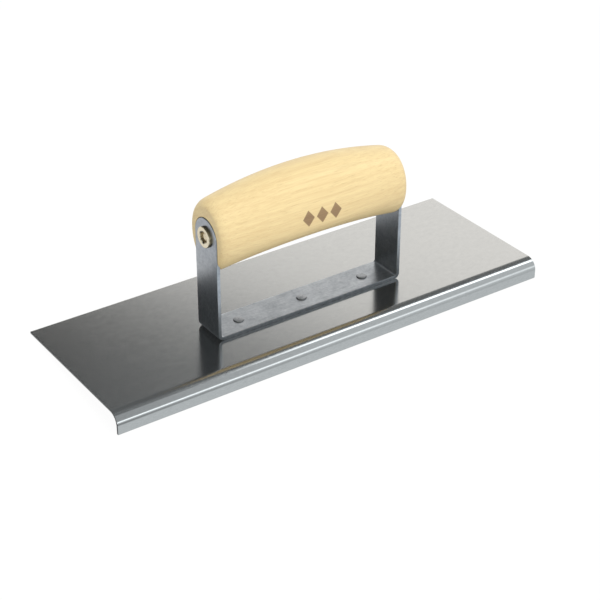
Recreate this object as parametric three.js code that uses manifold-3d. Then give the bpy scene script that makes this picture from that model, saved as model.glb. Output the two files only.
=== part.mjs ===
// A concrete hand edger: a flat steel blade with one long edge rolled down, a U-shaped strap
// riveted to it, and a wooden handle clamped between the strap's ears by a bolt and sleeve nut.
// Millimetres, +Z up. The origin is the centre of the flat working face under the blade,
// +X runs along the blade and +Y away from the rolled edge.
import * as THREE from "three";
import { mergeVertices } from "three/addons/utils/BufferGeometryUtils.js";
import Module from "manifold-3d";

const wasm = await Module();
wasm.setup();

// ---- driving dimensions ----

// blade
const BLADE_LENGTH = 254;
const BLADE_WIDTH = 88; // over the rolled edge
const BLADE_SHEET = 1.2;
const LIP_RADIUS = 6.35; // of the outer surface
const LIP_DEPTH = 9.5; // the lip's reach below the working face

// bracket
const STRAP_WIDTH = 19;
const STRAP_SHEET = 1.9;
const STRAP_BEND_RADIUS = 3; // of the outer surface
const BRACKET_LENGTH = 111; // over the two legs
const BRACKET_TO_REAR_EDGE = 51.6; // from the strap's centre line to the blade's rear edge

// rivets
const RIVET_PITCH = 38;
const RIVET_SHANK_RADIUS = 1.7;
const RIVET_HEAD_RADIUS = 2.5;
const RIVET_HEAD_HEIGHT = 0.55;
const RIVET_HEAD_RIM = 0.25; // the upright part of the head's edge
const RIVET_SINK_DEPTH = 0.9; // of the flush head under the blade

// handle
const GRIP_CLEARANCE = 36; // from the blade's top to the wood's underside at its ends
const GRIP_END_HEIGHT = 35.7;
const GRIP_END_WIDTH = 30;
const GRIP_CROWN = 7; // the top's rise from the ends to the middle
const GRIP_ARCH = 5.9; // the underside's rise from the ends to the middle
const GRIP_SWELL = 6.8; // the extra width in the middle
const GRIP_ROUNDING = 2.8; // how far the end faces' edges are drawn in
const GRIP_ROUNDING_REACH = 4.8; // and how far along the handle that reaches
const GRIP_ROUNDNESS = 2.08; // 2 is an ellipse, more is squarer
const EAR_PROUD = 0.3; // the ears' stand above the end faces

// handle bolt and sleeve nut
const BOLT_RADIUS = 3;
const BOLT_BELOW_TOP = 17.5; // from the wood's top at its ends to the bolt's axis
const SLEEVE_WALL = 1.1;
const SLEEVE_LENGTH = 18;
const THREAD_LENGTH = 11; // of the bolt inside the sleeve nut
const THREAD_END_ROOM = 2; // left in the sleeve nut past the bolt's end
const HEAD_LEDGE = 1.2; // the heads' overhang past the sleeve nut's barrel
const HEAD_HEIGHT = 1.35;
const HEAD_BEVEL = 0.3;
const HEX_KEY = 5; // across flats
const HEX_DEPTH = 1;

// clearances, from surface to surface
const RIVET_CLEARANCE = 0.06;
const BOLT_CLEARANCE = 0.25;
const THREAD_CLEARANCE = 0.1;
const SLOT_CLEARANCE = 0.35;

// the least inner radius that the strap is bent to, however thick it is
const TIGHTEST_BEND = 0.2;
// points nearer than this are one point
const WELD_DISTANCE = 1e-4;

// how finely round shapes are faceted
const BEND_STEPS = 10;
const SMALL_SIDES = 32;
const DOME_STEPS = 5;
const GRIP_SIDES = 48;
const GRIP_STEPS = 22;
const ROUNDING_STEPS = 6;

// ---- places worked out from them ----

const deckZ = BLADE_SHEET; // the blade's top
const floorZ = deckZ + STRAP_SHEET; // the top of the bracket's base
const flatWidth = BLADE_WIDTH - LIP_RADIUS;
const rearY = flatWidth / 2;
const bracketY = rearY - BRACKET_TO_REAR_EDGE;
const gripEndBottomZ = deckZ + GRIP_CLEARANCE;
const gripEndTopZ = gripEndBottomZ + GRIP_END_HEIGHT;
const boltZ = gripEndTopZ - BOLT_BELOW_TOP;
const earRadius = STRAP_WIDTH / 2;
const legInnerX = BRACKET_LENGTH / 2 - STRAP_SHEET;
const gripHalf = BRACKET_LENGTH / 2 - EAR_PROUD;
const earOuterX = BRACKET_LENGTH / 2;
const sleeveRadius = BOLT_RADIUS + THREAD_CLEARANCE + SLEEVE_WALL;
const headRadius = sleeveRadius + HEAD_LEDGE;
const sleeveEndX = earOuterX - SLEEVE_LENGTH;
const boltEndX = sleeveEndX + THREAD_LENGTH;

// ---- helpers ----

// A three.js geometry as a solid that can be joined and cut.
function solid(geometry) {
  const bare = geometry.clone();
  for (const name of Object.keys(bare.attributes)) {
    if (name !== "position") bare.deleteAttribute(name);
  }
  const merged = mergeVertices(bare, WELD_DISTANCE);
  return new wasm.Manifold(
    new wasm.Mesh({
      numProp: 3,
      vertProperties: new Float32Array(merged.attributes.position.array),
      triVerts: new Uint32Array(merged.index.array),
    }),
  );
}

// The solid as a named mesh with its own finish.
function part(name, body, color, roughness, metalness) {
  const mesh = body.getMesh();
  const geometry = new THREE.BufferGeometry();
  geometry.setAttribute("position", new THREE.BufferAttribute(mesh.vertProperties, 3));
  geometry.setIndex(new THREE.BufferAttribute(mesh.triVerts, 1));
  geometry.computeVertexNormals();
  const material = new THREE.MeshStandardMaterial({ color, roughness, metalness });
  const made = new THREE.Mesh(geometry, material);
  made.name = name;
  return made;
}

// Extrudes an outline drawn in (across, up) along a third axis, centred on the middle plane.
function extrude(shape, length, across, along) {
  const geometry = new THREE.ExtrudeGeometry(shape, {
    depth: length,
    bevelEnabled: false,
    curveSegments: BEND_STEPS,
  });
  geometry.translate(0, 0, -length / 2);
  const up = new THREE.Vector3(0, 0, 1);
  return geometry.applyMatrix4(new THREE.Matrix4().makeBasis(across, up, along));
}

const X = new THREE.Vector3(1, 0, 0);
const Y = new THREE.Vector3(0, 1, 0);

// A profile of (radius, distance) points turned about the X axis, from smaller x to larger.
function turnedAlongX(points, sides) {
  const profile = points.map(([radius, x]) => new THREE.Vector2(radius, x));
  const lathe = new THREE.LatheGeometry(profile, sides);
  // the lathe's own axis is Y: it goes to X, with Z to Y and X to Z
  const turn = new THREE.Matrix4().makeBasis(new THREE.Vector3(0, 0, 1), X, Y);
  return lathe.applyMatrix4(turn);
}

// The same about the Z axis.
function turnedAlongZ(points, sides) {
  const profile = points.map(([radius, z]) => new THREE.Vector2(radius, z));
  const lathe = new THREE.LatheGeometry(profile, sides);
  const turn = new THREE.Matrix4().makeBasis(Y, new THREE.Vector3(0, 0, 1), X);
  return lathe.applyMatrix4(turn);
}

// A bar along the X axis, from one x to another.
function bar(radius, fromX, toX, sides) {
  return turnedAlongX([[0, fromX], [radius, fromX], [radius, toX], [0, toX]], sides);
}

// The cutter for a hole about the bolt's axis.
function boltHole(radius, fromX, toX) {
  const cutter = bar(radius + BOLT_CLEARANCE, fromX, toX, SMALL_SIDES);
  return solid(cutter.translate(0, bracketY, boltZ));
}

// ---- rivets ----

const rivetXs = { rivet_left: -RIVET_PITCH, rivet_middle: 0, rivet_right: RIVET_PITCH };

// The shank and its countersunk lower head, grown by a clearance, from one height to another.
function rivetStem(x, clearance, bottomZ, topZ) {
  const shank = RIVET_SHANK_RADIUS + clearance;
  const points = [
    [0, bottomZ],
    [shank + RIVET_SINK_DEPTH - bottomZ, bottomZ],
    [shank, RIVET_SINK_DEPTH],
    [shank, topZ],
    [0, topZ],
  ];
  return solid(turnedAlongZ(points, SMALL_SIDES).translate(x, bracketY, 0));
}

// A low dome on the bracket's base, whose rim is a short upright wall.
function rivetHead(x) {
  const rimZ = floorZ + RIVET_HEAD_RIM;
  const rise = RIVET_HEAD_HEIGHT - RIVET_HEAD_RIM;
  const points = [[0, floorZ], [RIVET_HEAD_RADIUS, floorZ]];
  for (let i = 0; i < DOME_STEPS; i++) {
    const angle = (i / DOME_STEPS) * (Math.PI / 2);
    points.push([RIVET_HEAD_RADIUS * Math.cos(angle), rimZ + rise * Math.sin(angle)]);
  }
  points.push([0, floorZ + RIVET_HEAD_HEIGHT]);
  return solid(turnedAlongZ(points, SMALL_SIDES).translate(x, bracketY, 0));
}

function rivet(x) {
  return rivetStem(x, 0, 0, floorZ).add(rivetHead(x));
}

// The body with a hole for each rivet.
function drilledForRivets(body) {
  let drilled = body;
  for (const x of Object.values(rivetXs)) {
    drilled = drilled.subtract(rivetStem(x, RIVET_CLEARANCE, -BLADE_SHEET, floorZ + STRAP_SHEET));
  }
  return drilled;
}

// ---- blade ----

// The sheet's section: flat from the rear edge, then a quarter bend down into the lip.
function bladeSection() {
  const bendY = -rearY;
  const centreZ = deckZ - LIP_RADIUS;
  const inner = LIP_RADIUS - BLADE_SHEET;
  const section = new THREE.Shape();
  section.moveTo(rearY, deckZ);
  section.lineTo(bendY, deckZ);
  section.absarc(bendY, centreZ, LIP_RADIUS, Math.PI / 2, Math.PI, false);
  section.lineTo(bendY - LIP_RADIUS, -LIP_DEPTH);
  section.lineTo(bendY - inner, -LIP_DEPTH);
  section.lineTo(bendY - inner, centreZ);
  section.absarc(bendY, centreZ, inner, Math.PI, Math.PI / 2, true);
  section.lineTo(rearY, 0);
  section.closePath();
  return section;
}

function blade() {
  return drilledForRivets(solid(extrude(bladeSection(), BLADE_LENGTH, Y, X)));
}

// ---- bracket ----

// The strap's side view: a U with rounded lower corners, open at the top.
function bracketSection(topZ) {
  const out = BRACKET_LENGTH / 2;
  const outer = STRAP_BEND_RADIUS;
  const inner = Math.max(STRAP_BEND_RADIUS - STRAP_SHEET, TIGHTEST_BEND);
  const section = new THREE.Shape();
  section.moveTo(-out, topZ);
  section.lineTo(-out, deckZ + outer);
  section.absarc(-out + outer, deckZ + outer, outer, Math.PI, 1.5 * Math.PI, false);
  section.lineTo(out - outer, deckZ);
  section.absarc(out - outer, deckZ + outer, outer, 1.5 * Math.PI, 2 * Math.PI, false);
  section.lineTo(out, topZ);
  section.lineTo(legInnerX, topZ);
  section.lineTo(legInnerX, floorZ + inner);
  section.absarc(legInnerX - inner, floorZ + inner, inner, 2 * Math.PI, 1.5 * Math.PI, true);
  section.lineTo(-legInnerX + inner, floorZ);
  section.absarc(-legInnerX + inner, floorZ + inner, inner, 1.5 * Math.PI, Math.PI, true);
  section.lineTo(-legInnerX, topZ);
  section.closePath();
  return section;
}

// The strap's end view: straight sides and a round top about the bolt's axis.
function earOutline(clearance, bottomZ) {
  const half = earRadius + clearance;
  const outline = new THREE.Shape();
  outline.moveTo(bracketY - half, bottomZ);
  outline.lineTo(bracketY + half, bottomZ);
  outline.lineTo(bracketY + half, boltZ);
  outline.absarc(bracketY, boltZ, half, 0, Math.PI, false);
  outline.closePath();
  return outline;
}

function bracket() {
  const strap = extrude(bracketSection(boltZ + STRAP_WIDTH), STRAP_WIDTH, X, Y.clone().negate());
  const ears = extrude(earOutline(0, 0), 2 * BRACKET_LENGTH, Y, X);
  return drilledForRivets(solid(strap.translate(0, bracketY, 0)))
    .intersect(solid(ears))
    .subtract(boltHole(BOLT_RADIUS, -BRACKET_LENGTH, 0))
    .subtract(boltHole(sleeveRadius, 0, BRACKET_LENGTH));
}

// ---- handle ----

// Half of a superellipse: the cosine or sine raised to 2 / roundness, keeping its sign.
function squared(value) {
  return Math.sign(value) * Math.abs(value) ** (2 / GRIP_ROUNDNESS);
}

// The stations along the handle, as x and how far the section is drawn in by the end rounding.
function gripStations() {
  const stations = [];
  for (let i = 0; i <= ROUNDING_STEPS; i++) {
    const angle = (i / ROUNDING_STEPS) * (Math.PI / 2);
    stations.push({
      x: -gripHalf + GRIP_ROUNDING_REACH * (1 - Math.cos(angle)),
      inset: GRIP_ROUNDING * (1 - Math.sin(angle)),
    });
  }
  const straight = gripHalf - GRIP_ROUNDING_REACH;
  for (let i = 1; i < GRIP_STEPS; i++) {
    stations.push({ x: -straight + (2 * straight * i) / GRIP_STEPS, inset: 0 });
  }
  for (let i = ROUNDING_STEPS; i >= 0; i--) {
    stations.push({ x: -stations[i].x, inset: stations[i].inset });
  }
  return stations;
}

// A cylinder whose rings are moved to the stations and reshaped to the grip's section there:
// a superellipse about the bolt's axis, taller and wider towards the middle.
function gripBlank() {
  const stations = gripStations();
  const blank = new THREE.CylinderGeometry(1, 1, 1, GRIP_SIDES, stations.length - 1);
  const position = blank.attributes.position;
  for (let i = 0; i < position.count; i++) {
    const ring = Math.round((position.getY(i) + 0.5) * (stations.length - 1));
    const { x, inset } = stations[ring];
    const bow = 1 - (x / gripHalf) ** 2;
    const above = gripEndTopZ - boltZ + GRIP_CROWN * bow - inset;
    const below = boltZ - gripEndBottomZ - GRIP_ARCH * bow - inset;
    const aside = (GRIP_END_WIDTH + GRIP_SWELL * bow) / 2 - inset;
    const onAxis = Math.hypot(position.getX(i), position.getZ(i)) < WELD_DISTANCE;
    const side = onAxis ? 0 : squared(position.getZ(i));
    const rise = onAxis ? 0 : squared(position.getX(i));
    const height = rise > 0 ? above : below;
    position.setXYZ(i, x, bracketY + aside * side, boltZ + height * rise);
  }
  return solid(blank);
}

// The milled pocket that an ear sits in, open at the wood's end face and below.
function earPocket(side) {
  const depth = STRAP_WIDTH;
  const pocket = extrude(earOutline(SLOT_CLEARANCE, 0), depth, Y, X);
  return solid(pocket.translate(side * (legInnerX + depth / 2), 0, 0));
}

function handle() {
  return gripBlank()
    .subtract(earPocket(-1))
    .subtract(earPocket(1))
    .subtract(boltHole(BOLT_RADIUS, -BRACKET_LENGTH, BRACKET_LENGTH))
    .subtract(boltHole(sleeveRadius, sleeveEndX - BOLT_CLEARANCE, BRACKET_LENGTH));
}

// ---- bolt and sleeve nut ----

// A low round head outside the right ear, with a hex socket, on a stem that reaches in to an x.
// It lies along the X axis.
function socketHead(stemRadius, stemEndX) {
  const faceX = earOuterX + HEAD_HEIGHT;
  const points = [
    [0, stemEndX],
    [stemRadius, stemEndX],
    [stemRadius, earOuterX],
    [headRadius, earOuterX],
    [headRadius, faceX - HEAD_BEVEL],
    [headRadius - HEAD_BEVEL, faceX],
    [0, faceX],
  ];
  const key = bar(HEX_KEY / Math.sqrt(3), faceX - HEX_DEPTH, faceX + HEX_DEPTH, 6);
  return solid(turnedAlongX(points, SMALL_SIDES)).subtract(solid(key));
}

// The bolt, before it is turned end for end so that its head is at the left ear.
function handleBolt() {
  return socketHead(BOLT_RADIUS, -boltEndX);
}

function sleeveNut() {
  const bore = bar(BOLT_RADIUS + THREAD_CLEARANCE, 0, boltEndX + THREAD_END_ROOM, SMALL_SIDES);
  return socketHead(sleeveRadius, sleeveEndX).subtract(solid(bore));
}

// ---- the object ----

const edger = new THREE.Group();
edger.add(part("blade", blade(), 0x9c9e9e, 0.3, 1));
edger.add(part("bracket", bracket(), 0x8d949c, 0.45, 1));
for (const [name, x] of Object.entries(rivetXs)) {
  edger.add(part(name, rivet(x), 0x858b90, 0.45, 1));
}
edger.add(part("handle", handle(), 0xf2d9a2, 0.5, 0));

const boltPair = new THREE.Group();
boltPair.position.set(0, bracketY, boltZ);
const bolt = part("handle_bolt", handleBolt(), 0xd9bf86, 0.3, 1);
bolt.rotation.z = Math.PI;
boltPair.add(bolt);
boltPair.add(part("sleeve_nut", sleeveNut(), 0xd9bf86, 0.3, 1));
edger.add(boltPair);

export default edger;
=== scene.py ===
# A concrete hand edger: a flat steel blade with one long edge rolled down, a strap bracket
# riveted to it, and a wooden handle held between the strap's ears by a bolt and sleeve nut.
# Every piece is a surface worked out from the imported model's frame, in metres.
import math

import bmesh
import bpy
import numpy as np
from mathutils import Matrix, Vector


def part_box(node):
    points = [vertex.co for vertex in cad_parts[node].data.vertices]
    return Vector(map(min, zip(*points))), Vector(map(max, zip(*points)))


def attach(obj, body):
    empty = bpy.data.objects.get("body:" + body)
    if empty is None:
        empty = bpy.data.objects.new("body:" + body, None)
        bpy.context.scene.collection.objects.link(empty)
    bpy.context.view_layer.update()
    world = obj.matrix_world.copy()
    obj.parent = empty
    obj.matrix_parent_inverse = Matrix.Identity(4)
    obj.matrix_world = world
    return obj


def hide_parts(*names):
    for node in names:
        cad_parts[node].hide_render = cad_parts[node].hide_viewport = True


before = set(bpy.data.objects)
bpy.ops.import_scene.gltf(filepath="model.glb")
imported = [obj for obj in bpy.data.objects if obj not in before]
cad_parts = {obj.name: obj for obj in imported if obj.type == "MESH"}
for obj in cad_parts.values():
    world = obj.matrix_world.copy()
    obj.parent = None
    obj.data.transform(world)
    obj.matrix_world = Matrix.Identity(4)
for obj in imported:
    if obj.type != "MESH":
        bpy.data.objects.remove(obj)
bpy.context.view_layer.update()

MM = 0.001

# ---- sizes and places from the frame ----

blade_low, blade_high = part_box("blade")
strap_low, strap_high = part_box("bracket")
bolt_low, bolt_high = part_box("handle_bolt")
nut_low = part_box("sleeve_nut")[0]
rivet_low, rivet_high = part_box("rivet_middle")

BLADE_SHEET = blade_high.z
BLADE_LENGTH = blade_high.x - blade_low.x
BEND_START_Y = -blade_high.y
LIP_RADIUS = BEND_START_Y - blade_low.y
LIP_DEPTH = -blade_low.z
DECK_Z = blade_high.z

STRAP_WIDTH = strap_high.y - strap_low.y
STRAP_LENGTH = strap_high.x - strap_low.x
STRAP_Y = (strap_high.y + strap_low.y) / 2
BOLT_Z = strap_high.z - STRAP_WIDTH / 2
HEAD_RADIUS = (bolt_high.z - bolt_low.z) / 2
HEAD_HEIGHT = strap_low.x - bolt_low.x
BOLT_END_X = bolt_high.x
NUT_END_X = nut_low.x

# ---- sizes that the frame doesn't tell ----

STRAP_SHEET = 1.9 * MM
STRAP_BEND_RADIUS = 3.0 * MM
BLADE_EASING = 0.2 * MM
STRAP_EASING = 0.3 * MM
EASING_STEPS = 4
SUPPORT = 0.3 * MM  # from an eased edge to the first line on the flat, which keeps the flat flat
ROUND_END_STEPS = 36

RIVET_PITCH = 38.0 * MM
RIVET_SHANK_RADIUS = 1.7 * MM
RIVET_HEAD_RADIUS = (rivet_high.x - rivet_low.x) / 2
RIVET_SINK_DEPTH = 0.9 * MM
RIVET_CLEARANCE = 0.06 * MM
RIVET_SIDES = 64
RIVET_STEPS = 8
RIVET_RIM = 0.3 * MM
RIVET_CROWN = 0.06 * MM
FLOOR_OF_STRAP_Z = DECK_Z + STRAP_SHEET

GRIP_HALF = 55.2 * MM
GRIP_ABOVE = 17.5 * MM
GRIP_BELOW = 18.2 * MM
GRIP_ASIDE = 15.0 * MM
GRIP_CROWN = 7.0 * MM
GRIP_ARCH = 5.9 * MM
GRIP_SWELL = 3.4 * MM
GRIP_ROUNDING = 2.8 * MM
GRIP_ROUNDING_REACH = 4.8 * MM
GRIP_ROUNDNESS = 2.08
EAR_GAP = 0.35 * MM
GRIP_SIDES = 180
GRIP_STATIONS = 89
GRIP_ROUNDING_STEPS = 16

BOLT_RADIUS = 3.0 * MM
SLEEVE_RADIUS = 4.2 * MM
BOLT_GAP = 0.25 * MM
THREAD_GAP = 0.1 * MM
THREAD_PITCH = 1.0 * MM
THREAD_DEPTH = 0.55 * MM
THREAD_LENGTH = BOLT_END_X - NUT_END_X
THREAD_ROWS = int(THREAD_LENGTH / THREAD_PITCH * 10)  # ten rows in one turn
THREAD_END_ROOM = 2.0 * MM
NUT_MOUTH_EASING = 0.3 * MM
HEX_KEY = 5.0 * MM
HEX_DEPTH = 1.0 * MM
HEX_CHAMFER = 0.55 * MM
HEAD_BEVEL = 0.3 * MM
HEAD_BEVEL_STEPS = 6
SMALL_EASING = 0.12 * MM

WELD = 0.0005 * MM
SHARP_ANGLE = math.radians(32)
SIDES = 96

# ---- meshes ----


def as_piece(name, vertices, faces):
    """A mesh object with its doubles welded, its faces outwards and its sharp edges marked."""
    mesh = bpy.data.meshes.new(name)
    mesh.from_pydata(vertices, [], faces)
    work = bmesh.new()
    work.from_mesh(mesh)
    bmesh.ops.remove_doubles(work, verts=work.verts, dist=WELD)
    bmesh.ops.dissolve_degenerate(work, edges=work.edges, dist=WELD)
    bmesh.ops.recalc_face_normals(work, faces=work.faces)
    work.to_mesh(mesh)
    work.free()
    piece = bpy.data.objects.new(name, mesh)
    bpy.context.scene.collection.objects.link(piece)
    shade(mesh)
    return piece


def shade(mesh):
    """Smooth shading everywhere except over edges sharper than the limit."""
    mesh.polygons.foreach_set("use_smooth", np.ones(len(mesh.polygons), dtype=bool))
    mesh.set_sharp_from_angle(angle=SHARP_ANGLE)
    mesh.update()


def skin(name, grid):
    """Quads over a grid of points (stations, points round a loop), closed round the loop."""
    stations, around = grid.shape[:2]
    first = np.arange(stations - 1)[:, None] * around + np.arange(around)[None, :]
    along = (np.arange(around) + 1) % around
    second = np.arange(stations - 1)[:, None] * around + along[None, :]
    quads = np.stack([first, second, second + around, first + around], axis=-1)
    return as_piece(name, grid.reshape(-1, 3), quads.reshape(-1, 4).tolist())


def cut(piece, *cutters):
    """Takes the cutters' solids out of a piece, deletes the cutters and welds the seams."""
    for cutter in cutters:
        boolean = piece.modifiers.new(cutter.name, "BOOLEAN")
        boolean.operation = "DIFFERENCE"
        boolean.solver = "EXACT"
        boolean.object = cutter
    depsgraph = bpy.context.evaluated_depsgraph_get()
    cut_mesh = bpy.data.meshes.new_from_object(piece.evaluated_get(depsgraph))
    piece.modifiers.clear()
    piece.data = cut_mesh
    for cutter in cutters:
        bpy.data.objects.remove(cutter)
    welded = bmesh.new()
    welded.from_mesh(cut_mesh)
    bmesh.ops.remove_doubles(welded, verts=welded.verts, dist=WELD)
    welded.to_mesh(cut_mesh)
    welded.free()
    shade(cut_mesh)
    return piece


def turned(name, profile, axis, centre, sides=SIDES):
    """A (radius, distance) profile turned about X or Z: each ring is the radius times a circle.

    The circle starts a third of a side round, so that no corner falls on another shape's line.
    """
    radius, distance = np.array(profile, dtype=float).T
    angle = (np.arange(sides) + 1 / 3) / sides * 2 * np.pi
    first = radius[:, None] * np.cos(angle)
    second = radius[:, None] * np.sin(angle)
    along = np.repeat(distance[:, None], sides, axis=1)
    order = (along, first, second) if axis == "X" else (first, second, along)
    return skin(name, np.stack(order, axis=-1) + np.array(centre))


def spaced(*runs):
    """Lines in order from (start, end, count) runs, without repeats at the joins."""
    lines = np.concatenate([np.linspace(start, end, count) for start, end, count in runs])
    keep = np.concatenate([[True], np.diff(lines) > WELD])
    return lines[keep]


def round_the_sheet(lines, core_half):
    """The loop round a sheet's cross-section, as core points and the way out from each.

    The core is the sheet less its edge easing. Going round it: over the top along the lines,
    down the far edge as two quarter circles, back underneath, and up the near edge.
    """
    quarter = np.linspace(0, np.pi / 2, EASING_STEPS + 1)
    one = np.ones_like(quarter)
    flat = np.ones_like(lines)
    place = [lines, lines[-1] * one, lines[-1] * one, lines[::-1], lines[0] * one, lines[0] * one]
    height = [flat, one, -one, -flat, -one, one]
    sideways = [0 * flat, np.sin(quarter), np.cos(quarter), 0 * flat, -np.sin(quarter), -np.cos(quarter)]
    upwards = [flat, np.cos(quarter), -np.sin(quarter), -flat, -np.cos(quarter), np.sin(quarter)]
    return (
        np.concatenate(place),
        core_half * np.concatenate(height),
        np.concatenate(sideways),
        np.concatenate(upwards),
    )


# ---- blade ----


def bend_down(x, along, lift):
    """Where a point of the flat sheet lands once its front is bent down.

    Along runs over the middle of the sheet from the rear edge: straight on, then round a
    quarter circle, then straight down. Lift is the height off the middle of the sheet.
    """
    middle_radius = LIP_RADIUS - BLADE_SHEET / 2
    straight = blade_high.y - BEND_START_Y
    turn = np.clip((along - straight) / middle_radius, 0, np.pi / 2)
    tail = np.maximum(along - straight - middle_radius * np.pi / 2, 0)
    reach = middle_radius + lift
    y = blade_high.y - np.minimum(along, straight) - reach * np.sin(turn)
    z = DECK_Z - LIP_RADIUS + reach * np.cos(turn) - tail
    return np.stack(np.broadcast_arrays(x, y, z), axis=-1)


def make_blade():
    """A thin slab with eased edges, swept along X and bent down at the front.

    Each point is a core point plus the easing radius times the way out from it, which turns
    from sideways to endways over the last stations.
    """
    ease = BLADE_EASING
    straight = blade_high.y - BEND_START_Y
    bend = (LIP_RADIUS - BLADE_SHEET / 2) * math.pi / 2
    tail = LIP_DEPTH - (LIP_RADIUS - DECK_Z)
    width = straight + bend + tail
    lines = spaced(
        (ease, ease + SUPPORT, 2),
        (ease + SUPPORT, straight - SUPPORT, 14),
        (straight - SUPPORT, straight, 2),
        (straight, straight + bend, 33),
        (straight + bend, straight + bend + SUPPORT, 2),
        (straight + bend + SUPPORT, width - ease - SUPPORT, 4),
        (width - ease - SUPPORT, width - ease, 2),
    )
    place, core_height, sideways, upwards = round_the_sheet(lines, BLADE_SHEET / 2 - ease)
    half = BLADE_LENGTH / 2 - ease
    flat = half - SUPPORT
    stations = spaced((-half, -flat, 2), (-flat, flat, 60), (flat, half, 2))
    turn = np.linspace(0, np.pi / 2, EASING_STEPS + 1)[1:]
    core_x = np.concatenate([np.full(turn.size, -half), stations, np.full(turn.size, half)])
    tilt = np.concatenate([-turn[::-1], np.zeros(stations.size), turn])
    x = core_x + ease * np.sin(tilt)
    out = ease * np.cos(tilt)
    along = place[None, :] + out[:, None] * sideways
    lift = core_height[None, :] + out[:, None] * upwards
    grid = bend_down(x[:, None], along, lift)
    ends = bend_down(np.array([[-BLADE_LENGTH / 2], [BLADE_LENGTH / 2]]), place[None, :], 0 * place)
    blade = skin("rolled_blade", np.concatenate([ends[:1], grid, ends[1:]]))
    return cut(blade, *rivet_drills())


# ---- bracket ----


def bend_up(along, y, lift):
    """Where a point of the flat strap lands once both its ends are bent up.

    Along runs from the middle of the base: straight on, then round a quarter circle, then
    straight up. Lift is the height off the middle of the strap, towards the handle.
    """
    middle_radius = STRAP_BEND_RADIUS - STRAP_SHEET / 2
    straight = STRAP_LENGTH / 2 - STRAP_BEND_RADIUS
    turn = np.clip((np.abs(along) - straight) / middle_radius, 0, np.pi / 2)
    rise = np.maximum(np.abs(along) - straight - middle_radius * np.pi / 2, 0)
    reach = middle_radius - lift
    x = np.sign(along) * (np.minimum(np.abs(along), straight) + reach * np.sin(turn))
    z = DECK_Z + STRAP_BEND_RADIUS - reach * np.cos(turn) + rise
    return np.stack(np.broadcast_arrays(x, STRAP_Y + y, z), axis=-1)


def make_bracket():
    """A strap with round ends and eased edges, bent up into a U.

    The core's half width is constant along the straight and shrinks with the cosine of an
    angle over each round end, while the place along it goes on with the sine.
    """
    ease = STRAP_EASING
    core_width = STRAP_WIDTH / 2 - ease
    straight = STRAP_LENGTH / 2 - STRAP_BEND_RADIUS
    bend = (STRAP_BEND_RADIUS - STRAP_SHEET / 2) * math.pi / 2
    ear = straight + bend + BOLT_Z - DECK_Z - STRAP_BEND_RADIUS
    support = 1 - SUPPORT / core_width
    lines = spaced((-1, -support, 2), (-support, support, 17), (support, 1, 2))
    place, core_height, sideways, upwards = round_the_sheet(lines, STRAP_SHEET / 2 - ease)
    right = spaced(
        (0, straight - SUPPORT, 40),
        (straight - SUPPORT, straight, 2),
        (straight, straight + bend, 15),
        (straight + bend, straight + bend + SUPPORT, 2),
        (straight + bend + SUPPORT, ear, 40),
    )
    stations = np.concatenate([-right[:0:-1], right])
    turn = np.linspace(0, np.pi / 2, ROUND_END_STEPS + 1)[1:]
    core_along = np.concatenate([np.full(turn.size, -ear), stations, np.full(turn.size, ear)])
    tilt = np.concatenate([-turn[::-1], np.zeros(stations.size), turn])[:, None]
    along = core_along[:, None] + np.sin(tilt) * (core_width + ease * np.abs(sideways))
    y = np.cos(tilt) * (core_width * place + ease * sideways)
    lift = np.broadcast_to(core_height + ease * upwards, y.shape)
    bracket = skin("strap_bracket", bend_up(along, y, lift))
    left_hole = bolt_drill(BOLT_RADIUS + BOLT_GAP, -STRAP_LENGTH, 0)
    right_hole = bolt_drill(SLEEVE_RADIUS + BOLT_GAP, 0, STRAP_LENGTH)
    return cut(bracket, left_hole, right_hole, *rivet_drills())


def bolt_drill(radius, start, end):
    """A plain bar along the bolt's axis, to cut a hole with."""
    profile = [(0, start), (radius, start), (radius, end), (0, end)]
    return turned("bolt_drill", profile, "X", (0, STRAP_Y, BOLT_Z))


# ---- rivets ----


def rivet_drills():
    """The three rivets' stems, grown by the clearance, to cut their holes with."""
    shank = RIVET_SHANK_RADIUS + RIVET_CLEARANCE
    bottom, top = -BLADE_SHEET, FLOOR_OF_STRAP_Z + STRAP_SHEET
    mouth = shank + RIVET_SINK_DEPTH - bottom
    profile = [(0, bottom), (mouth, bottom), (shank, RIVET_SINK_DEPTH), (shank, top), (0, top)]
    return [
        turned("rivet_drill", profile, "Z", (x, STRAP_Y, 0), SIDES // 2)
        for x in (-RIVET_PITCH, 0, RIVET_PITCH)
    ]


def make_rivet(name, x):
    """A countersunk lower head, a shank and a flat upper head with a rounded rim, turned about Z.

    The rim is a quarter circle, and the top inside it rises to the middle by a parabola.
    """
    ease = SMALL_EASING / 2
    mouth = RIVET_SHANK_RADIUS + RIVET_SINK_DEPTH
    stem = [
        (0, 0), (mouth - 2 * ease, 0), (mouth - ease, ease), (RIVET_SHANK_RADIUS, RIVET_SINK_DEPTH),
        (RIVET_SHANK_RADIUS, FLOOR_OF_STRAP_Z), (RIVET_HEAD_RADIUS - ease, FLOOR_OF_STRAP_Z),
        (RIVET_HEAD_RADIUS, FLOOR_OF_STRAP_Z + ease),
    ]
    angle = np.linspace(0, np.pi / 2, RIVET_STEPS + 1)
    flat_radius = RIVET_HEAD_RADIUS - RIVET_RIM
    rim_radius = flat_radius + RIVET_RIM * np.cos(angle)
    rim_z = rivet_high.z - RIVET_CROWN - RIVET_RIM * (1 - np.sin(angle))
    top_radius = np.linspace(flat_radius, 0, RIVET_STEPS)[1:]
    top_z = rivet_high.z - RIVET_CROWN * (top_radius / flat_radius) ** 2
    head = list(zip(rim_radius, rim_z)) + list(zip(top_radius, top_z))
    return turned(name, stem + head, "Z", (x, STRAP_Y, 0), RIVET_SIDES)


# ---- handle ----


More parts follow.
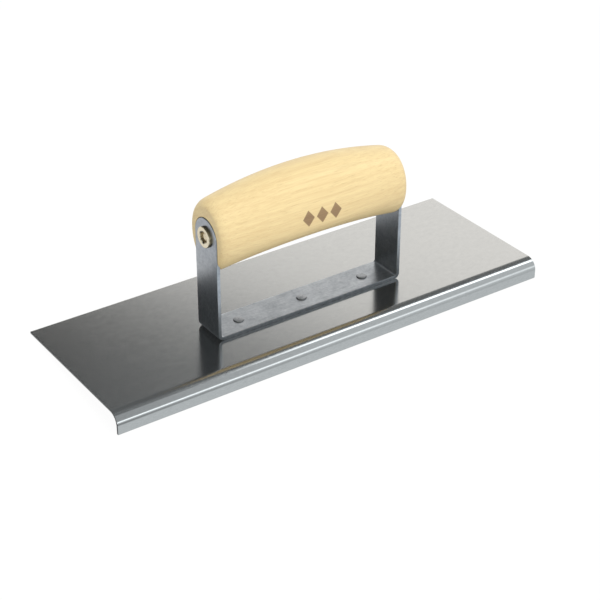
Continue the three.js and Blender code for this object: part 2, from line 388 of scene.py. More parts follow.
def make_handle():
    """A superellipse carried along X, taller and wider towards the middle by a parabola.

    Its ends are rounded by drawing the section in, and closed by shrinking it to the bolt's
    axis. The ears' pockets and the bolt's bores are then cut out.
    """
    turn = np.linspace(0, np.pi / 2, GRIP_ROUNDING_STEPS + 1)
    straight_half = GRIP_HALF - GRIP_ROUNDING_REACH
    straight = np.linspace(-straight_half, straight_half, GRIP_STATIONS + 2)[1:-1]
    end_x = -GRIP_HALF + GRIP_ROUNDING_REACH * (1 - np.cos(turn))
    end_inset = GRIP_ROUNDING * (1 - np.sin(turn))
    cap_share = np.array([0, 0.5, 0.97])  # the sizes of a cap's rings
    cap_x = np.full(cap_share.size, -GRIP_HALF)
    cap_inset = np.full(cap_share.size, GRIP_ROUNDING)
    x = np.concatenate([cap_x, end_x, straight, -end_x[::-1], -cap_x])
    inset = np.concatenate([cap_inset, end_inset, 0 * straight, end_inset[::-1], cap_inset])
    full_size = np.ones(x.size - 2 * cap_share.size)
    shrink = np.concatenate([cap_share, full_size, cap_share[::-1]])
    bow = 1 - (x / GRIP_HALF) ** 2
    above = GRIP_ABOVE + GRIP_CROWN * bow - inset
    below = GRIP_BELOW - GRIP_ARCH * bow - inset
    aside = GRIP_ASIDE + GRIP_SWELL * bow - inset
    angle = np.arange(GRIP_SIDES) / GRIP_SIDES * 2 * np.pi
    side = np.sign(np.cos(angle)) * np.abs(np.cos(angle)) ** (2 / GRIP_ROUNDNESS)
    rise = np.sign(np.sin(angle)) * np.abs(np.sin(angle)) ** (2 / GRIP_ROUNDNESS)
    y = STRAP_Y + (shrink * aside)[:, None] * side
    height = np.where(rise[None, :] > 0, above[:, None], below[:, None])
    z = BOLT_Z + shrink[:, None] * height * rise
    grid = np.stack([np.repeat(x[:, None], angle.size, axis=1), y, z], axis=-1)
    handle = skin("wooden_handle", grid)
    ear_x = STRAP_LENGTH / 2 - STRAP_SHEET
    narrow, wide, step = BOLT_RADIUS + BOLT_GAP, SLEEVE_RADIUS + BOLT_GAP, NUT_END_X - BOLT_GAP
    far = STRAP_LENGTH
    profile = [(0, -far), (narrow, -far), (narrow, step), (wide, step), (wide, far), (0, far)]
    bore = turned("stepped_bore", profile, "X", (0, STRAP_Y, BOLT_Z))
    return cut(handle, bore, ear_pocket(-far, -ear_x), ear_pocket(ear_x, far))


def ear_pocket(start, end):
    """The room that an ear needs: a half circle over straight sides, carried along X."""
    half = STRAP_WIDTH / 2 + EAR_GAP
    angle = np.linspace(0, np.pi, 2 * ROUND_END_STEPS + 1)
    y = np.concatenate([half * np.cos(angle), [-half, half]])
    z = np.concatenate([half * np.sin(angle), [-STRAP_LENGTH / 2, -STRAP_LENGTH / 2]])
    shrink = np.array([0, 1, 1, 0])[:, None]
    x = np.array([start, start, end, end])[:, None] + 0 * y
    grid = np.stack([x, STRAP_Y + shrink * y, BOLT_Z + shrink * z], axis=-1)
    return skin("ear_pocket", grid)


# ---- bolt and sleeve nut ----


def hex_reach(angle):
    """How far a hexagon reaches at an angle, for a half width of 1: one over a cosine."""
    return 1 / np.cos((angle + np.pi / 6) % (np.pi / 3) - np.pi / 6)


def head_rows():
    """The head's outline from under its rim to the bottom of its socket.

    Each row is (radius, height over the ear, share of hexagon): a rounded rim, a flat ring, a
    chamfer that leads into the hexagon, straight walls and a shallow cone.
    """
    key = HEX_KEY / 2
    ease = SMALL_EASING
    rim = HEAD_RADIUS - HEAD_BEVEL
    side = HEAD_HEIGHT - HEAD_BEVEL
    bottom = HEAD_HEIGHT - HEX_DEPTH
    turn = np.linspace(0, np.pi / 2, HEAD_BEVEL_STEPS + 1)
    rows = [(HEAD_RADIUS - ease, 0, 0), (HEAD_RADIUS, ease, 0)]
    rows += [(rim + HEAD_BEVEL * math.cos(a), side + HEAD_BEVEL * math.sin(a), 0) for a in turn]
    rows += [
        (rim - SUPPORT / 2, HEAD_HEIGHT, 0),
        (key / math.cos(math.pi / 6) + HEX_CHAMFER, HEAD_HEIGHT, 0),
        (key, HEAD_HEIGHT - HEX_CHAMFER, 1),
        (key, bottom, 1),
        (key - ease, bottom - ease, 1),
        (0, bottom - HEX_CHAMFER, 1),
    ]
    return rows


def socket_screw(name, inner_rows, side):
    """A stem on rows of (radius, x, share of hexagon) with a head outside an ear.

    It is turned about the bolt's axis. Rows are worked out for the right ear, and start at the
    far end of the stem. Side is -1 for a head at the left ear, which mirrors them.
    """
    outer = [(radius, STRAP_LENGTH / 2 + height, share) for radius, height, share in head_rows()]
    radius, place, share = np.array(inner_rows + outer, dtype=float).T
    x = side * place
    angle = np.arange(SIDES) / SIDES * 2 * np.pi
    reach = 1 + share[:, None] * (hex_reach(angle) - 1)
    ring = radius[:, None] * reach - thread_groove(radius, x, angle)
    y = STRAP_Y + ring * np.cos(angle)
    z = BOLT_Z + ring * np.sin(angle)
    grid = np.stack([x[:, None] + 0 * y, y, z], axis=-1)
    return skin(name, grid)


def thread_groove(radius, x, angle):
    """How deep the thread is cut at each row and angle: a triangle wave that winds round.

    It is cut into rows of the bolt's radius or the nut's bore, where the one is in the other.
    """
    near = np.abs(radius - BOLT_RADIUS) < 2 * THREAD_GAP
    threaded = near & (x > NUT_END_X) & (x < BOLT_END_X)
    turns = x[:, None] / THREAD_PITCH - angle / (2 * np.pi)
    wave = 1 - np.abs((turns % 1) * 2 - 1)
    return THREAD_DEPTH * wave * threaded[:, None]


def make_handle_bolt():
    """The bolt: its head at the left ear, its thread inside the sleeve nut."""
    step = THREAD_LENGTH / THREAD_ROWS
    rows = [(0, -BOLT_END_X, 0), (BOLT_RADIUS - THREAD_DEPTH, -BOLT_END_X, 0)]
    rows += [(BOLT_RADIUS, step * row - BOLT_END_X, 0) for row in range(1, THREAD_ROWS + 1)]
    rows += [(BOLT_RADIUS, STRAP_LENGTH / 2, 0)]
    return socket_screw("grip_bolt", rows, -1)


def make_sleeve_nut():
    """The nut: a tube with its head at the right ear, open and threaded at its inner end."""
    bore = BOLT_RADIUS + THREAD_GAP
    end = BOLT_END_X + THREAD_END_ROOM
    ease = NUT_MOUTH_EASING
    step = THREAD_LENGTH / THREAD_ROWS
    rows = [(0, end + MM, 0), (bore - THREAD_DEPTH, end, 0)]
    rows += [(bore, BOLT_END_X - step * row, 0) for row in range(THREAD_ROWS)]
    rows += [
        (bore + ease, NUT_END_X, 0), (SLEEVE_RADIUS - ease, NUT_END_X, 0),
        (SLEEVE_RADIUS, NUT_END_X + ease, 0), (SLEEVE_RADIUS, STRAP_LENGTH / 2, 0),
    ]
    return socket_screw("grip_sleeve_nut", rows, 1)


# ---- node helpers ----


def node(tree, kind, inputs=None, **settings):
    """A node with its settings made, and each input filled with a value or linked to a socket."""
    made = tree.nodes.new(kind)
    for name, value in settings.items():
        setattr(made, name, value)
    for name, value in (inputs or {}).items():
        if isinstance(value, bpy.types.NodeSocket):
            tree.links.new(value, made.inputs[name])
        else:
            made.inputs[name].default_value = value
    return made


def sums(tree, operation, first, second=0.0):
    """One step of arithmetic on numbers or sockets."""
    return node(tree, "ShaderNodeMath", {0: first, 1: second}, operation=operation).outputs[0]


def product(tree, first, *others):
    """Numbers or sockets multiplied together."""
    for other in others:
        first = sums(tree, "MULTIPLY", first, other)
    return first


def apart(tree, first, second):
    """How far apart two numbers or sockets are."""
    return sums(tree, "ABSOLUTE", sums(tree, "SUBTRACT", first, second))


def remap(tree, value, low, high, to_low=0.0, to_high=1.0, smooth=False):
    """A value's range moved to another range and held at its ends."""
    kind = "SMOOTHSTEP" if smooth else "LINEAR"
    inputs = {"Value": value, "From Min": low, "From Max": high, "To Min": to_low, "To Max": to_high}
    return node(tree, "ShaderNodeMapRange", inputs, interpolation_type=kind).outputs["Result"]


def between_numbers(tree, share, first, second):
    """A number part of the way from the first to the second."""
    return node(tree, "ShaderNodeMix", {0: share, 2: first, 3: second}, data_type="FLOAT").outputs[0]


def between(tree, share, first, second):
    """A colour part of the way from the first to the second."""
    inputs = {0: share, 6: first, 7: second}
    return node(tree, "ShaderNodeMix", inputs, data_type="RGBA").outputs[2]


def stretched(tree, vector, scale, turn=(0, 0, 0)):
    """Coordinates turned and scaled, which stretches what reads them."""
    inputs = {"Vector": vector, "Scale": scale, "Rotation": turn}
    return node(tree, "ShaderNodeMapping", inputs).outputs["Vector"]


def noise(tree, vector, scale, detail=3.0, roughness=0.5, distortion=0.0):
    """Cloudy noise from 0 to 1."""
    inputs = {
        "Vector": vector, "Scale": scale, "Detail": detail,
        "Roughness": roughness, "Distortion": distortion,
    }
    return node(tree, "ShaderNodeTexNoise", inputs).outputs["Fac"]


# ---- effects that the materials share ----


def effect_group(name, inputs, outputs):
    """An empty group with named number or vector inputs and number outputs."""
    group = bpy.data.node_groups.new(name, "ShaderNodeTree")
    for label, value in inputs.items():
        kind = "NodeSocketVector" if value is None else "NodeSocketFloat"
        socket = group.interface.new_socket(name=label, in_out="INPUT", socket_type=kind)
        if value is not None:
            socket.default_value = value
    for label in outputs:
        group.interface.new_socket(name=label, in_out="OUTPUT", socket_type="NodeSocketFloat")
    return group, group.nodes.new("NodeGroupInput"), group.nodes.new("NodeGroupOutput")


def streaks_group():
    """Fine streaks along X: noise read with X squeezed, so that it changes slowly that way."""
    inputs = {"Place": None, "Across": 1500.0, "Length": 25.0}
    group, given, result = effect_group("fine_streaks", inputs, ["Streaks"])
    slow = sums(group, "DIVIDE", 1.0, given.outputs["Length"])
    scale = node(group, "ShaderNodeCombineXYZ", {"X": slow, "Y": 1.0, "Z": 1.0}).outputs[0]
    place = stretched(group, given.outputs["Place"], scale)
    streaks = noise(group, place, given.outputs["Across"], 4.0, 0.6)
    group.links.new(streaks, result.inputs["Streaks"])
    return group


def mottle_group():
    """Blotches of two sizes, the smaller ones broken up by the larger."""
    inputs = {"Place": None, "Blotches": 120.0, "Fineness": 6.0}
    group, given, result = effect_group("mottling", inputs, ["Mottle"])
    large = noise(group, given.outputs["Place"], given.outputs["Blotches"], 4.0, 0.6, 0.4)
    finer = product(group, given.outputs["Blotches"], given.outputs["Fineness"])
    small = noise(group, given.outputs["Place"], finer, 5.0, 0.65, 0.2)
    mottle = between_numbers(group, 0.45, large, small)
    group.links.new(mottle, result.inputs["Mottle"])
    return group


def wear_group():
    """Rubbed edges: how far the surface bulges past a half, which is flat, broken up by noise."""
    inputs = {"Place": None, "Reach": 0.02, "Patches": 400.0}
    group, given, result = effect_group("worn_edges", inputs, ["Wear"])
    bulge = node(group, "ShaderNodeNewGeometry").outputs["Pointiness"]
    edge = remap(group, bulge, 0.5, sums(group, "ADD", 0.5, given.outputs["Reach"]))
    patches = noise(group, given.outputs["Place"], given.outputs["Patches"])
    patches = remap(group, patches, 0.35, 0.65, 0.3, 1.0)
    group.links.new(product(group, edge, patches), result.inputs["Wear"])
    return group


STREAKS = streaks_group()
MOTTLE = mottle_group()
WEAR = wear_group()


def effect(tree, group, place, **values):
    """A shared effect placed in a material with its own values."""
    made = tree.nodes.new("ShaderNodeGroup")
    made.node_tree = group
    tree.links.new(place, made.inputs["Place"])
    for name, value in values.items():
        made.inputs[name].default_value = value
    return made.outputs[0]


# ---- colours and finishes ----

METAL, NOT_METAL = 1.0, 0.0

SHEET_DARK = (0.585, 0.582, 0.568, 1)
SHEET_PALE = (0.665, 0.66, 0.642, 1)
SHEARED_SHEET = (0.11, 0.115, 0.12, 1)
CREASE_SHADE = (0.25, 0.25, 0.24, 1)
# Near black, for the lower part of the lip's cut ends.
LIP_END_DARK = (0.012, 0.012, 0.013, 1)
# The strap's upper colours are darker and bluer than those at the foot: painted shade up the legs.
STRAP_DARK_LOW = (0.46, 0.485, 0.515, 1)
STRAP_DARK_SHADED_HIGH = (0.37, 0.405, 0.455, 1)
STRAP_PALE_LOW = (0.74, 0.76, 0.785, 1)
STRAP_PALE_SHADED_HIGH = (0.55, 0.585, 0.64, 1)
# Painted shade for the sheared edges near the foot.
SHADED_STRAP_EDGE = (0.12, 0.13, 0.14, 1)
RUBBED_ZINC = (0.78, 0.8, 0.82, 1)
# Painted shade round the rivets' heads, on the strap.
RIVET_RIM_SHADE_ON_STRAP = (0.07, 0.072, 0.075, 1)
RIVET_DARK = (0.36, 0.37, 0.385, 1)
RIVET_PALE = (0.6, 0.61, 0.625, 1)
RUBBED_RIVET = (0.62, 0.63, 0.64, 1)
# Painted shade round the edge of each rivet's head.
RIVET_HEAD_RIM_SHADE = (0.12, 0.123, 0.128, 1)
PLATING_DARK = (0.96, 0.83, 0.58, 1)
PLATING_PALE = (1.0, 0.92, 0.72, 1)
RUBBED_PLATING = (1.0, 0.94, 0.8, 1)
# Painted shade for the socket and the head's side.
SHADED_PLATING = (0.34, 0.235, 0.09, 1)
WOOD_DARK = (0.82, 0.615, 0.31, 1)
WOOD_PALE = (0.915, 0.73, 0.385, 1)
WOOD_PORE = (0.46, 0.29, 0.12, 1)
BURNT_WOOD = (0.2, 0.1, 0.05, 1)

SHEET_RELIEF = 0.001 * MM
PLATING_RELIEF = 0.01 * MM
RIVET_RELIEF = 0.02 * MM
WOOD_RELIEF = 0.02 * MM

CREASE_Y = BEND_START_Y - 1.5 * MM

MARK_X = -0.3 * MM
MARK_Z = 58.8 * MM
MARK_PITCH = 8.0 * MM
MARK_LENGTH = 6.8 * MM
MARK_HEIGHT = 8.4 * MM

# ---- materials ----


def new_material(name, metallic):
    """A material with an empty shader, and the object's own coordinates."""
    material = bpy.data.materials.new(name)
    material.use_nodes = True
    tree = material.node_tree
    tree.nodes.clear()
    shader = tree.nodes.new("ShaderNodeBsdfPrincipled")
    shader.inputs["Metallic"].default_value = metallic
    output = tree.nodes.new("ShaderNodeOutputMaterial")
    tree.links.new(shader.outputs["BSDF"], output.inputs["Surface"])
    place = tree.nodes.new("ShaderNodeTexCoord").outputs["Object"]
    return material, tree, shader, place


def tinted(tree, share, strength, colour, tint):
    """A colour covered by a tint where the share is high, up to the strength."""
    return between(tree, product(tree, share, strength), colour, tint)


def varied(tree, noisy, low, high):
    """A noise's usual range, from 0.3 to 0.7, moved to the range from low to high."""
    return remap(tree, noisy, 0.3, 0.7, low, high)


def off_axis(tree, first, second):
    """The distance from an axis, from the two distances square to it."""
    squares = sums(tree, "ADD", product(tree, first, first), product(tree, second, second))
    return sums(tree, "SQRT", squares)


def off_row(tree, along, pitch):
    """The distance along from the nearest of three places a pitch apart, the middle one at 0."""
    nearest = sums(tree, "ROUND", sums(tree, "DIVIDE", along, pitch))
    nearest = sums(tree, "MINIMUM", sums(tree, "MAXIMUM", nearest, -1.0), 1.0)
    return sums(tree, "SUBTRACT", along, product(tree, nearest, pitch))


def bumped(tree, shader, height, distance, strength):
    """A height in the shader's normal."""
    inputs = {"Height": height, "Distance": distance, "Strength": strength}
    bump = node(tree, "ShaderNodeBump", inputs)
    tree.links.new(bump.outputs["Normal"], shader.inputs["Normal"])


def satin_blade_steel():
    """Satin stainless sheet, hazy where the bend starts, polished over it, dull on its cut edges."""
    material, tree, shader, place = new_material("satin_blade_steel", METAL)
    streaks = effect(tree, STREAKS, place, Across=2200.0, Length=5.0)
    mottle = effect(tree, MOTTLE, place, Blotches=320.0, Fineness=5.0)
    clouds = between_numbers(tree, 0.5, streaks, mottle)
    share = remap(tree, clouds, 0.36, 0.64)
    colour = between(tree, share, SHEET_DARK, SHEET_PALE)
    axes = node(tree, "ShaderNodeSeparateXYZ", {0: place})
    rim = BLADE_EASING / 2
    end = remap(tree, sums(tree, "ABSOLUTE", axes.outputs["X"]), BLADE_LENGTH / 2 - rim, BLADE_LENGTH / 2)
    rear = remap(tree, axes.outputs["Y"], blade_high.y - rim, blade_high.y)
    foot = remap(tree, axes.outputs["Z"], rim - LIP_DEPTH, -LIP_DEPTH)
    sheared = sums(tree, "MAXIMUM", sums(tree, "MAXIMUM", end, rear), foot)
    colour = tinted(tree, sheared, 0.8, colour, SHEARED_SHEET)
    # Painted shade: a dark line along the start of the bend.
    bend_start_shade = remap(tree, apart(tree, axes.outputs["Y"], CREASE_Y), 1.7 * MM, 0.6 * MM)
    colour = tinted(tree, bend_start_shade, 0.4, colour, CREASE_SHADE)
    # The lip's cut ends darken towards the bottom, nearly to black.
    lip_end_darkening = remap(tree, axes.outputs["Z"], 0.0, -3 * MM)
    colour = tinted(tree, end, lip_end_darkening, colour, LIP_END_DARK)
    tree.links.new(colour, shader.inputs["Base Color"])
    polish = remap(tree, axes.outputs["Y"], BEND_START_Y - 2 * MM, BEND_START_Y - 4 * MM)
    haze = remap(tree, axes.outputs["Y"], BEND_START_Y, BEND_START_Y - MM)
    satin = varied(tree, clouds, 0.145, 0.17)
    satin = sums(tree, "ADD", satin, product(tree, haze, 0.1))
    roughness = sums(tree, "SUBTRACT", satin, product(tree, polish, 0.15))
    roughness = sums(tree, "ADD", roughness, product(tree, sheared, 0.3))
    tree.links.new(roughness, shader.inputs["Roughness"])
    bumped(tree, shader, streaks, SHEET_RELIEF, 0.4)
    return material


def rivet_rim_shade(tree, axes):
    """A thin ring of painted shade round the edge of each rivet's head."""
    off_x = off_row(tree, axes.outputs["X"], RIVET_PITCH)
    off_y = sums(tree, "SUBTRACT", axes.outputs["Y"], STRAP_Y)
    off_edge = apart(tree, off_axis(tree, off_x, off_y), RIVET_HEAD_RADIUS)
    return remap(tree, off_edge, 0.4 * MM, 0.05 * MM)


def zinc_strap_steel():
    """Zinc-coated strap: a cloudy blue-grey skin, paler at the foot and darker and bluer up the legs as
    painted shade.

    Its sheared edges are painted dark near the foot only, painted shade beside the blade.
    """
    material, tree, shader, place = new_material("zinc_strap_steel", METAL)
    mottle = effect(tree, MOTTLE, place, Blotches=170.0, Fineness=5.0)
    streaks = effect(tree, STREAKS, place, Across=900.0, Length=8.0)
    wear = effect(tree, WEAR, place, Reach=0.03, Patches=500.0)
    clouds = between_numbers(tree, 0.25, mottle, streaks)
    share = remap(tree, clouds, 0.36, 0.62)
    axes = node(tree, "ShaderNodeSeparateXYZ", {0: place})
    # Painted shade: the colour darkens and turns bluer from the foot up the legs.
    height = remap(tree, axes.outputs["Z"], FLOOR_OF_STRAP_Z + 2 * MM, BOLT_Z)
    dark = between(tree, height, STRAP_DARK_LOW, STRAP_DARK_SHADED_HIGH)
    pale = between(tree, height, STRAP_PALE_LOW, STRAP_PALE_SHADED_HIGH)
    colour = between(tree, share, dark, pale)
    off_centre = apart(tree, axes.outputs["Y"], STRAP_Y)
    edge = STRAP_WIDTH / 2
    sheared = remap(tree, off_centre, edge - STRAP_EASING, edge - STRAP_EASING / 3)
    # Painted shade: the sheared edges darken near the foot, beside the blade.
    foot_edge_shade = remap(tree, axes.outputs["Z"], FLOOR_OF_STRAP_Z + MM, BOLT_Z / 2, 0.85, 0.0)
    colour = tinted(tree, sheared, foot_edge_shade, colour, SHADED_STRAP_EDGE)
    # Painted shade round each rivet's head, where it meets the strap.
    colour = tinted(tree, rivet_rim_shade(tree, axes), 0.65, colour, RIVET_RIM_SHADE_ON_STRAP)
    colour = tinted(tree, wear, 0.15, colour, RUBBED_ZINC)
    tree.links.new(colour, shader.inputs["Base Color"])
    tree.links.new(varied(tree, clouds, 0.36, 0.28), shader.inputs["Roughness"])
    relief = product(tree, clouds, sums(tree, "SUBTRACT", 1.0, sheared))
    bumped(tree, shader, relief, PLATING_RELIEF, 0.4)
    return material


def dull_rivet_steel():
    """Plain rivet steel, a little dull, with painted shade round the head's edge."""
    material, tree, shader, place = new_material("dull_rivet_steel", METAL)
    mottle = effect(tree, MOTTLE, place, Blotches=500.0, Fineness=4.0)
    wear = effect(tree, WEAR, place, Reach=0.05, Patches=900.0)
    share = remap(tree, mottle, 0.38, 0.62)
    colour = between(tree, share, RIVET_DARK, RIVET_PALE)
    colour = tinted(tree, wear, 0.2, colour, RUBBED_RIVET)
    axes = node(tree, "ShaderNodeSeparateXYZ", {0: place})
    # Painted shade round the edge of the head.
    colour = tinted(tree, rivet_rim_shade(tree, axes), 0.5, colour, RIVET_HEAD_RIM_SHADE)
    tree.links.new(colour, shader.inputs["Base Color"])
    tree.links.new(varied(tree, mottle, 0.36, 0.27), shader.inputs["Roughness"])
    bumped(tree, shader, mottle, RIVET_RELIEF, 0.6)
    return material


def yellow_plating():
    """Yellow zinc plating: pale gold and faintly cloudy, with painted shade in the socket and round the
    side.

    The middle of the socket's bottom is left out of the shade, as a painted highlight.
    """
    material, tree, shader, place = new_material("yellow_plating", METAL)
    mottle = effect(tree, MOTTLE, place, Blotches=350.0, Fineness=5.0)
    wear = effect(tree, WEAR, place, Reach=0.05, Patches=900.0)
    share = remap(tree, mottle, 0.38, 0.62)
    colour = between(tree, share, PLATING_DARK, PLATING_PALE)
    colour = tinted(tree, wear, 0.4, colour, RUBBED_PLATING)
    axes = node(tree, "ShaderNodeSeparateXYZ", {0: place})
    face_x = STRAP_LENGTH / 2 + HEAD_HEIGHT
    depth = sums(tree, "SUBTRACT", face_x, sums(tree, "ABSOLUTE", axes.outputs["X"]))
    across = sums(tree, "SUBTRACT", axes.outputs["Y"], STRAP_Y)
    up = sums(tree, "SUBTRACT", axes.outputs["Z"], BOLT_Z)
    # Painted shade inside the socket and round the head's side; the middle of the socket's bottom is left
    # bright as a painted highlight.
    middle = remap(tree, off_axis(tree, across, up), 2.1 * MM, 1.3 * MM)
    highlight_spot = product(tree, middle, remap(tree, depth, HEX_DEPTH, HEX_DEPTH + 0.1 * MM))
    under_face = remap(tree, depth, 0.1 * MM, 0.35 * MM)
    in_head = remap(tree, depth, 2.0 * MM, 1.7 * MM)
    dull = product(tree, under_face, in_head, sums(tree, "SUBTRACT", 1.0, highlight_spot))
    colour = tinted(tree, dull, 0.8, colour, SHADED_PLATING)
    shader.inputs["Coat Weight"].default_value = 0.4
    shader.inputs["Coat Roughness"].default_value = 0.25
    tree.links.new(colour, shader.inputs["Base Color"])
    tree.links.new(varied(tree, mottle, 0.3, 0.22), shader.inputs["Roughness"])
    bumped(tree, shader, mottle, PLATING_RELIEF, 0.5)
    return material


def lozenge_mark(tree, place):
    """A burnt mark on the handle's front: three plain lozenges in a row.

    Inside a lozenge, the distances along and up from its centre, each as a share of its half
    size, add up to less than one.
    """
    axes = node(tree, "ShaderNodeSeparateXYZ", {0: place})
    along = off_row(tree, sums(tree, "SUBTRACT", axes.outputs["X"], MARK_X), MARK_PITCH)
    share_along = sums(tree, "DIVIDE", sums(tree, "ABSOLUTE", along), MARK_LENGTH / 2)
    share_up = sums(tree, "DIVIDE", apart(tree, axes.outputs["Z"], MARK_Z), MARK_HEIGHT / 2)
    inside = remap(tree, sums(tree, "ADD", share_along, share_up), 1.06, 0.94)
    front = remap(tree, axes.outputs["Y"], STRAP_Y - 4 * MM, STRAP_Y - 5 * MM)
    return product(tree, inside, front)


def pale_handle_wood():
    """Pale straight-grained hardwood: growth bands, fine pores and longer lines, and a mark."""
    material, tree, shader, place = new_material("pale_handle_wood", NOT_METAL)
    leaning = stretched(tree, place, (1.0, 1.0, 1.0), (math.radians(24), 0, math.radians(1.5)))
    clouds = noise(tree, stretched(tree, place, (0.15, 1.0, 1.0)), 90.0, 4.0, 0.55, 0.3)
    wave = {"Vector": leaning, "Scale": 95.0, "Distortion": 2.2, "Detail": 3.0, "Detail Scale": 0.5}
    shape = {"wave_type": "BANDS", "bands_direction": "Z", "wave_profile": "SIN"}
    bands = node(tree, "ShaderNodeTexWave", wave, **shape).outputs["Fac"]
    fine = effect(tree, STREAKS, place, Across=1700.0, Length=38.0)
    pores = effect(tree, STREAKS, place, Across=2600.0, Length=22.0)
    grain = between_numbers(tree, 0.6, between_numbers(tree, 0.8, bands, clouds), fine)
    share = remap(tree, grain, 0.36, 0.62)
    colour = between(tree, share, WOOD_DARK, WOOD_PALE)
    lines = effect(tree, STREAKS, place, Across=420.0, Length=26.0)
    line = remap(tree, lines, 0.42, 0.33)
    pore = sums(tree, "ADD", remap(tree, pores, 0.42, 0.3), product(tree, line, 0.45))
    colour = tinted(tree, pore, 0.3, colour, WOOD_PORE)
    mark = lozenge_mark(tree, place)
    colour = tinted(tree, mark, varied(tree, fine, 0.7, 0.88), colour, BURNT_WOOD)
    tree.links.new(colour, shader.inputs["Base Color"])
    tree.links.new(varied(tree, fine, 0.5, 0.38), shader.inputs["Roughness"])
    shader.inputs["Coat Weight"].default_value = 0.15
    shader.inputs["Coat Roughness"].default_value = 0.3
    relief = sums(tree, "SUBTRACT", fine, product(tree, pore, 0.6))
    bumped(tree, shader, sums(tree, "SUBTRACT", relief, mark), WOOD_RELIEF, 0.5)
    return material


# ---- the object ----


def finish_piece(piece, node_name, material):
    """A piece rides on the one body, stands for its CAD node and takes its finish."""
    piece.data.materials.clear()
    piece.data.materials.append(material)
    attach(piece, "root")
    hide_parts(node_name)


finish_piece(make_blade(), "blade", satin_blade_steel())
finish_piece(make_bracket(), "bracket", zinc_strap_steel())
rivet_finish = dull_rivet_steel()
for side, rivet_x in (("left", -RIVET_PITCH), ("middle", 0), ("right", RIVET_PITCH)):
    finish_piece(make_rivet(f"{side}_rivet", rivet_x), f"rivet_{side}", rivet_finish)
finish_piece(make_handle(), "handle", pale_handle_wood())
plating = yellow_plating()
finish_piece(make_handle_bolt(), "handle_bolt", plating)
finish_piece(make_sleeve_nut(), "sleeve_nut", plating)

# ---- floor ----

# The floor's glow and its share of the paint, first for light and then for the eye.
FLOOR_GLOWS = (0.7, 1.04)
FLOOR_GLOW_SHARES = (0.75, 0.9)


def make_floor():
    """A pale floor that touches the lip's lower edge and the blade's rear edge.

    It glows a little, and the steel mirrors the studio's ground in its place.
    """
    lean = math.atan2(LIP_DEPTH, blade_high.y - blade_low.y - BLADE_SHEET / 2)
    touch_y = blade_low.y + BLADE_SHEET / 2
    drop = 0.1 * MM
    size = 3.0
    across = np.array([-size, size, size, -size])
    away = np.array([-size, -size, size, size])
    y = touch_y + away * math.cos(lean)
    z = -LIP_DEPTH - drop + away * math.sin(lean)
    mesh = bpy.data.meshes.new("floor")
    mesh.from_pydata(np.stack([across, y, z], axis=-1), [], [(0, 1, 2, 3)])
    floor = bpy.data.objects.new("floor", mesh)
    bpy.context.scene.collection.objects.link(floor)
    mesh.materials.append(floor_paint())
    floor.visible_glossy = False


def floor_paint():
    """Pale matt paint, nearly white to the eye, and not there when it is seen from below."""
    material = bpy.data.materials.new("floor_paint")
    material.use_nodes = True
    tree = material.node_tree
    tree.nodes.clear()
    matt = node(tree, "ShaderNodeBsdfDiffuse", {"Color": (0.8, 0.8, 0.8, 1)})
    seen = tree.nodes.new("ShaderNodeLightPath").outputs["Is Camera Ray"]
    strength = between_numbers(tree, seen, *FLOOR_GLOWS)
    glow = node(tree, "ShaderNodeEmission", {"Color": (1, 1, 1, 1), "Strength": strength})
    share = between_numbers(tree, seen, *FLOOR_GLOW_SHARES)
    mixed = node(tree, "ShaderNodeMixShader", {0: share, 1: matt.outputs[0], 2: glow.outputs[0]})
    clear = tree.nodes.new("ShaderNodeBsdfTransparent")
    below = tree.nodes.new("ShaderNodeNewGeometry").outputs["Backfacing"]
    both = node(tree, "ShaderNodeMixShader", {0: below, 1: mixed.outputs[0], 2: clear.outputs[0]})
    output = tree.nodes.new("ShaderNodeOutputMaterial")
    tree.links.new(both.outputs[0], output.inputs["Surface"])
    return material


# ---- light ----

# The studio's walls and lamps end at planes through the object. Each plane is given by the
# direction that it faces, which is the side that is meant.
UNDER_WALL_TOP = (0.520, 0.253, -0.816)
RIGHT_OF_LAMP_END = (1.0, 0.0, -0.56)
BEFORE_LAMP_BACK = (0.0, -1.0, -0.15)
BEHIND_LAMP_FRONT = (0.0, 1.0, 0.5)
BEFORE_FRONT_TOP = (0.0, -1.0, -0.5)
UNDER_HORIZON = (0.0, 0.0, -1.0)

CEILING_LEVEL = 0.19
WALL_LEVEL = 1.06
LAMP_LEVEL = 2.4
GROUND_LEVEL = 0.72
DIFFUSE_FILL = (0.68, 0.68, 0.68, 1)
BACKDROP_WHITE = (1.0, 1.0, 1.0, 1)
STUDIO_TINT = (0.93, 1.0, 1.05, 1)
WALL_TINT = (1.015, 1.005, 0.985, 1)


def half_space(tree, direction, facing, softness):
    """How far a direction is on the side that a plane faces, from 0 to 1."""
    side = node(tree, "ShaderNodeVectorMath", {0: direction, 1: facing}, operation="DOT_PRODUCT")
    return remap(tree, side.outputs["Value"], -softness, softness, smooth=True)


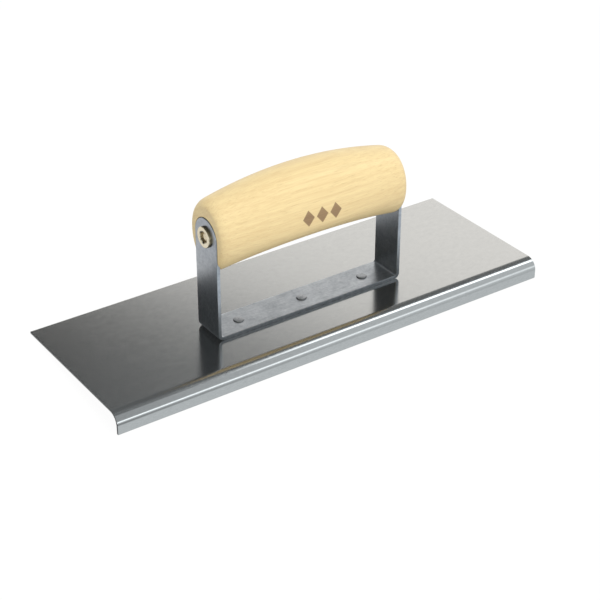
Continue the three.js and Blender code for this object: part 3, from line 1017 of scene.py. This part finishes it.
def studio_light(tree, way):
    """How bright the studio is in each direction, and how much of its bright wall is there.

    The wall stands low on the right and behind, and a strip lamp hangs high on the right. The
    ceiling is dark, and black behind on the left. The front is mid grey with a bright band at
    its foot, and the ground is pale with a darker band in front. The front's levels change
    from left to right.
    """
    axes = node(tree, "ShaderNodeSeparateXYZ", {0: way})
    right, away, up = axes.outputs["X"], axes.outputs["Y"], axes.outputs["Z"]
    left = remap(tree, right, 0.48, 0.34)
    low = remap(tree, up, 0.62, 0.52)
    behind = remap(tree, away, 0.1, 0.35)
    ceiling = between_numbers(tree, product(tree, left, low, behind), CEILING_LEVEL, 0.0)
    wall = product(tree, half_space(tree, way, UNDER_WALL_TOP, 0.012), remap(tree, away, -0.2, 0.1))
    light = between_numbers(tree, wall, ceiling, WALL_LEVEL)
    lamp_length = half_space(tree, way, RIGHT_OF_LAMP_END, 0.05)
    lamp_back = half_space(tree, way, BEFORE_LAMP_BACK, 0.03)
    lamp_front = half_space(tree, way, BEHIND_LAMP_FRONT, 0.03)
    light = between_numbers(tree, product(tree, lamp_length, lamp_back, lamp_front), light, LAMP_LEVEL)
    front = half_space(tree, way, BEFORE_FRONT_TOP, 0.05)
    light = between_numbers(tree, front, light, remap(tree, right, 0.36, 0.5, 0.42, 0.66))
    glow_up = remap(tree, right, 0.38, 0.6, 0.03, 0.15)
    glow = remap(tree, apart(tree, up, glow_up), 0.16, 0.04, smooth=True)
    glow_level = remap(tree, right, 0.38, 0.6, 1.9, 1.15)
    light = between_numbers(tree, product(tree, glow, front), light, glow_level)
    dip = remap(tree, apart(tree, up, -0.27), 0.2, 0.05, smooth=True)
    dip_level = remap(tree, right, 0.36, 0.52, 0.3, 0.62)
    ground_level = between_numbers(tree, product(tree, dip, front), GROUND_LEVEL, dip_level)
    light = between_numbers(tree, half_space(tree, way, UNDER_HORIZON, 0.04), light, ground_level)
    return light, wall


def studio_world():
    """A white studio to the eye, with the walls and lamps that the steel mirrors."""
    world = bpy.data.worlds.new("studio")
    bpy.context.scene.world = world
    world.use_nodes = True
    tree = world.node_tree
    tree.nodes.clear()
    way = tree.nodes.new("ShaderNodeTexCoord").outputs["Generated"]
    light, wall = studio_light(tree, way)
    tint = between(tree, wall, STUDIO_TINT, WALL_TINT)
    scaled = node(tree, "ShaderNodeVectorMath", {0: tint, "Scale": light}, operation="SCALE")
    path = tree.nodes.new("ShaderNodeLightPath")
    light = between(tree, path.outputs["Is Diffuse Ray"], scaled.outputs["Vector"], DIFFUSE_FILL)
    light = between(tree, path.outputs["Is Camera Ray"], light, BACKDROP_WHITE)
    backdrop = node(tree, "ShaderNodeBackground", {"Color": light, "Strength": 1.0})
    output = tree.nodes.new("ShaderNodeOutputWorld")
    tree.links.new(backdrop.outputs[0], output.inputs["Surface"])


def soft_lamp(name, place, aim, size, watts):
    """A square area lamp that lights matt surfaces and isn't mirrored in the steel."""
    lamp = bpy.data.lights.new(name, "AREA")
    lamp.shape = "SQUARE"
    lamp.size = size
    lamp.energy = watts
    held = bpy.data.objects.new(name, lamp)
    held.location = place
    held.rotation_euler = (Vector(aim) - Vector(place)).to_track_quat("-Z", "Y").to_euler()
    held.visible_glossy = False
    held.visible_camera = False
    bpy.context.scene.collection.objects.link(held)


def make_camera():
    """A long lens from the front left, a little over head height for a tool on a bench."""
    lens = bpy.data.cameras.new("camera")
    lens.lens = 93.95
    lens.sensor_width = 36.0
    lens.clip_start = 0.01
    lens.clip_end = 20.0
    camera = bpy.data.objects.new("camera", lens)
    camera.location = (-0.3903, -0.5731, 0.4113)
    forward = Vector((0.4885, 0.7054, -0.5135))
    level = forward.to_track_quat("-Z", "Y").to_matrix().to_4x4()
    roll = Matrix.Rotation(math.radians(0.1), 4, "Z")
    camera.rotation_euler = (level @ roll).to_euler()
    bpy.context.scene.collection.objects.link(camera)
    bpy.context.scene.camera = camera


make_floor()
studio_world()
soft_lamp("key", place=(0.1, -0.9, 1.3), aim=(0, 0, 0.04), size=1.1, watts=12.5)
make_camera()
bpy.context.scene.view_settings.view_transform = "Standard"
